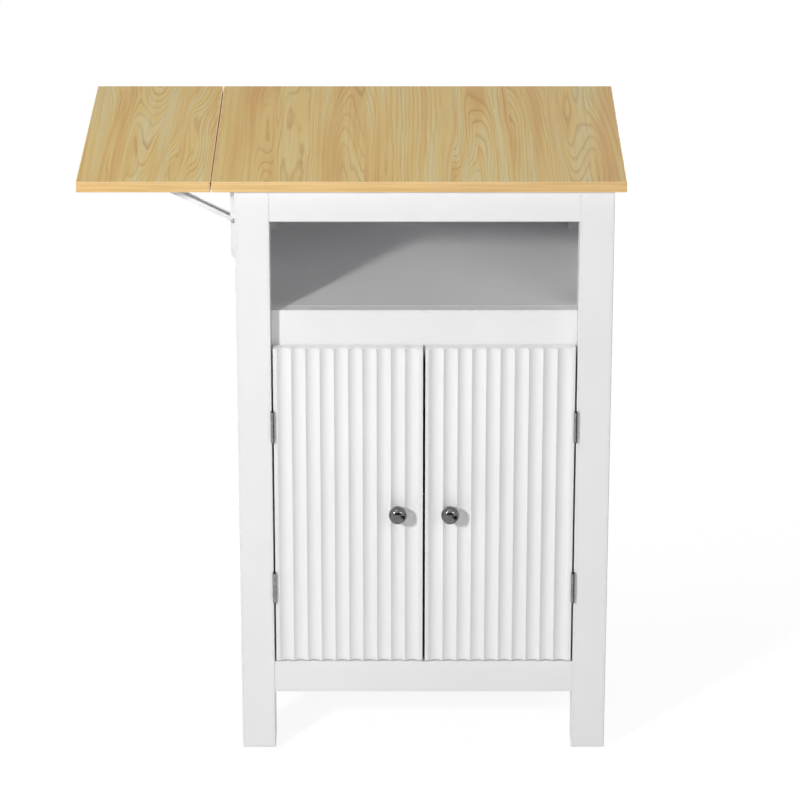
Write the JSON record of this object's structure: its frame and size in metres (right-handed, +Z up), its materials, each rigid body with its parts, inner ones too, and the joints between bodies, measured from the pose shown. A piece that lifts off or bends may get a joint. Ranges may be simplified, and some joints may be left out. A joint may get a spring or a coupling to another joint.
{
  "type": "drop leaf kitchen island",
  "caption": "Free-standing kitchen island with a wooden worktop, a fold-down leaf on steel brackets, an open compartment and a cupboard with fluted doors.",
  "frame": {"origin": "on the floor, under the middle of the box that holds the whole island with its leaf raised", "axes": "+X along the worktop from the leaf to the fixed end, +Y from the doors to the back, +Z up"},
  "size_m": [0.79, 0.471, 0.914],
  "materials": {
    "timber_top": "satin lacquered, warm honey grain along the depth",
    "edge_strip": "satin, light tan edging",
    "white_paint": "smooth white satin paint on board",
    "white_powder_coat": "white powder coat on pressed steel",
    "satin_nickel": "satin nickel plate",
    "hinge_steel": "satin nickel plated steel",
    "zinc_plated_steel": "bright zinc plate",
    "spring_steel": "dark oiled steel",
    "zinc_alloy": "dull die-cast zinc",
    "ferrite": "matt black ferrite",
    "beech": "bare fluted beech",
    "moulded_plastic": "off-white moulded plastic"
  },
  "bodies": {
    "cabinet": {"worktop": "timber_top", "worktop_edging": "edge_strip", "leg_front_left": "white_paint", "leg_front_right": "white_paint", "leg_back_left": "white_paint", "leg_back_right": "white_paint", "foot_glides": "moulded_plastic", "top_rail_front": "white_paint", "top_rail_back": "white_paint", "bottom_rail_front": "white_paint", "bottom_rail_back": "white_paint", "side_panel_left": "white_paint", "side_panel_right": "white_paint", "back_panel": "white_paint", "compartment_shelf": "white_paint", "middle_rail": "white_paint", "cupboard_floor": "white_paint", "loose_shelf": "white_paint", "shelf_pins": "zinc_plated_steel", "dowels": "beech", "cam_bolts": "zinc_plated_steel", "cam_locks": "zinc_alloy", "top_angles": "zinc_plated_steel", "top_angle_screws": "zinc_plated_steel", "frame_hinge_leaves": "hinge_steel", "hinge_pins": "hinge_steel", "frame_hinge_screws": "zinc_plated_steel", "catch_housings": "moulded_plastic", "catch_magnets": "ferrite", "catch_screws": "zinc_plated_steel", "wall_arm_front": "white_powder_coat", "wall_arm_back": "white_powder_coat", "arm_rivets": "zinc_plated_steel", "strut_rivets": "zinc_plated_steel", "wall_arm_screws": "zinc_plated_steel"},
    "leaf": {"drop_leaf": "timber_top", "leaf_edging": "edge_strip", "leaf_arm_front": "white_powder_coat", "leaf_arm_back": "white_powder_coat", "leaf_arm_screws": "zinc_plated_steel", "latch_pins": "zinc_plated_steel"},
    "front_strut": {"strut_front": "white_powder_coat", "slide_pin_front": "zinc_plated_steel"},
    "back_strut": {"strut_back": "white_powder_coat", "slide_pin_back": "zinc_plated_steel"},
    "front_latch": {"latch_lever_front": "spring_steel"},
    "back_latch": {"latch_lever_back": "spring_steel"},
    "left_door": {"door_left": "white_paint", "knob_left": "satin_nickel", "knob_screw_left": "zinc_plated_steel", "door_hinge_leaves_left": "hinge_steel", "door_screws_left": "zinc_plated_steel", "strike_plate_left": "zinc_plated_steel"},
    "right_door": {"door_right": "white_paint", "knob_right": "satin_nickel", "knob_screw_right": "zinc_plated_steel", "door_hinge_leaves_right": "hinge_steel", "door_screws_right": "zinc_plated_steel", "strike_plate_right": "zinc_plated_steel"}
  },
  "joints": [
    {"name": "leaf_fold", "type": "hinge", "parent": "cabinet", "child": "leaf", "pos_m": [-0.1735, 0, 0.888], "axis": [0, -1, 0], "range_deg": [0, 90]},
    {"name": "front_strut_swing", "type": "hinge", "parent": "cabinet", "child": "front_strut", "pos_m": [-0.1735, -0.1295, 0.826], "axis": [0, -1, 0], "range_deg": [0, 116.8]},
    {"name": "back_strut_swing", "type": "hinge", "parent": "cabinet", "child": "back_strut", "pos_m": [-0.1735, 0.1405, 0.826], "axis": [0, -1, 0], "range_deg": [0, 116.8]},
    {"name": "front_latch_press", "type": "hinge", "parent": "leaf", "child": "front_latch", "pos_m": [-0.2495, -0.1295, 0.893], "axis": [0, 1, 0], "range_deg": [0, 1.2], "stiffness_Nm_per_rad": 1},
    {"name": "back_latch_press", "type": "hinge", "parent": "leaf", "child": "back_latch", "pos_m": [-0.2495, 0.1405, 0.893], "axis": [0, 1, 0], "range_deg": [0, 1.2], "stiffness_Nm_per_rad": 1},
    {"name": "left_door_swing", "type": "hinge", "parent": "cabinet", "child": "left_door", "pos_m": [-0.1178, -0.2127, 0.4], "axis": [0, 0, -1], "range_deg": [0, 170]},
    {"name": "right_door_swing", "type": "hinge", "parent": "cabinet", "child": "right_door", "pos_m": [0.3278, -0.2127, 0.4], "axis": [0, 0, 1], "range_deg": [0, 170]}
  ],
  "couplings": [
    {"joint": "front_strut_swing", "follows": "leaf_fold", "ratio": 1.2966},
    {"joint": "back_strut_swing", "follows": "leaf_fold", "ratio": 1.2966}
  ]
}
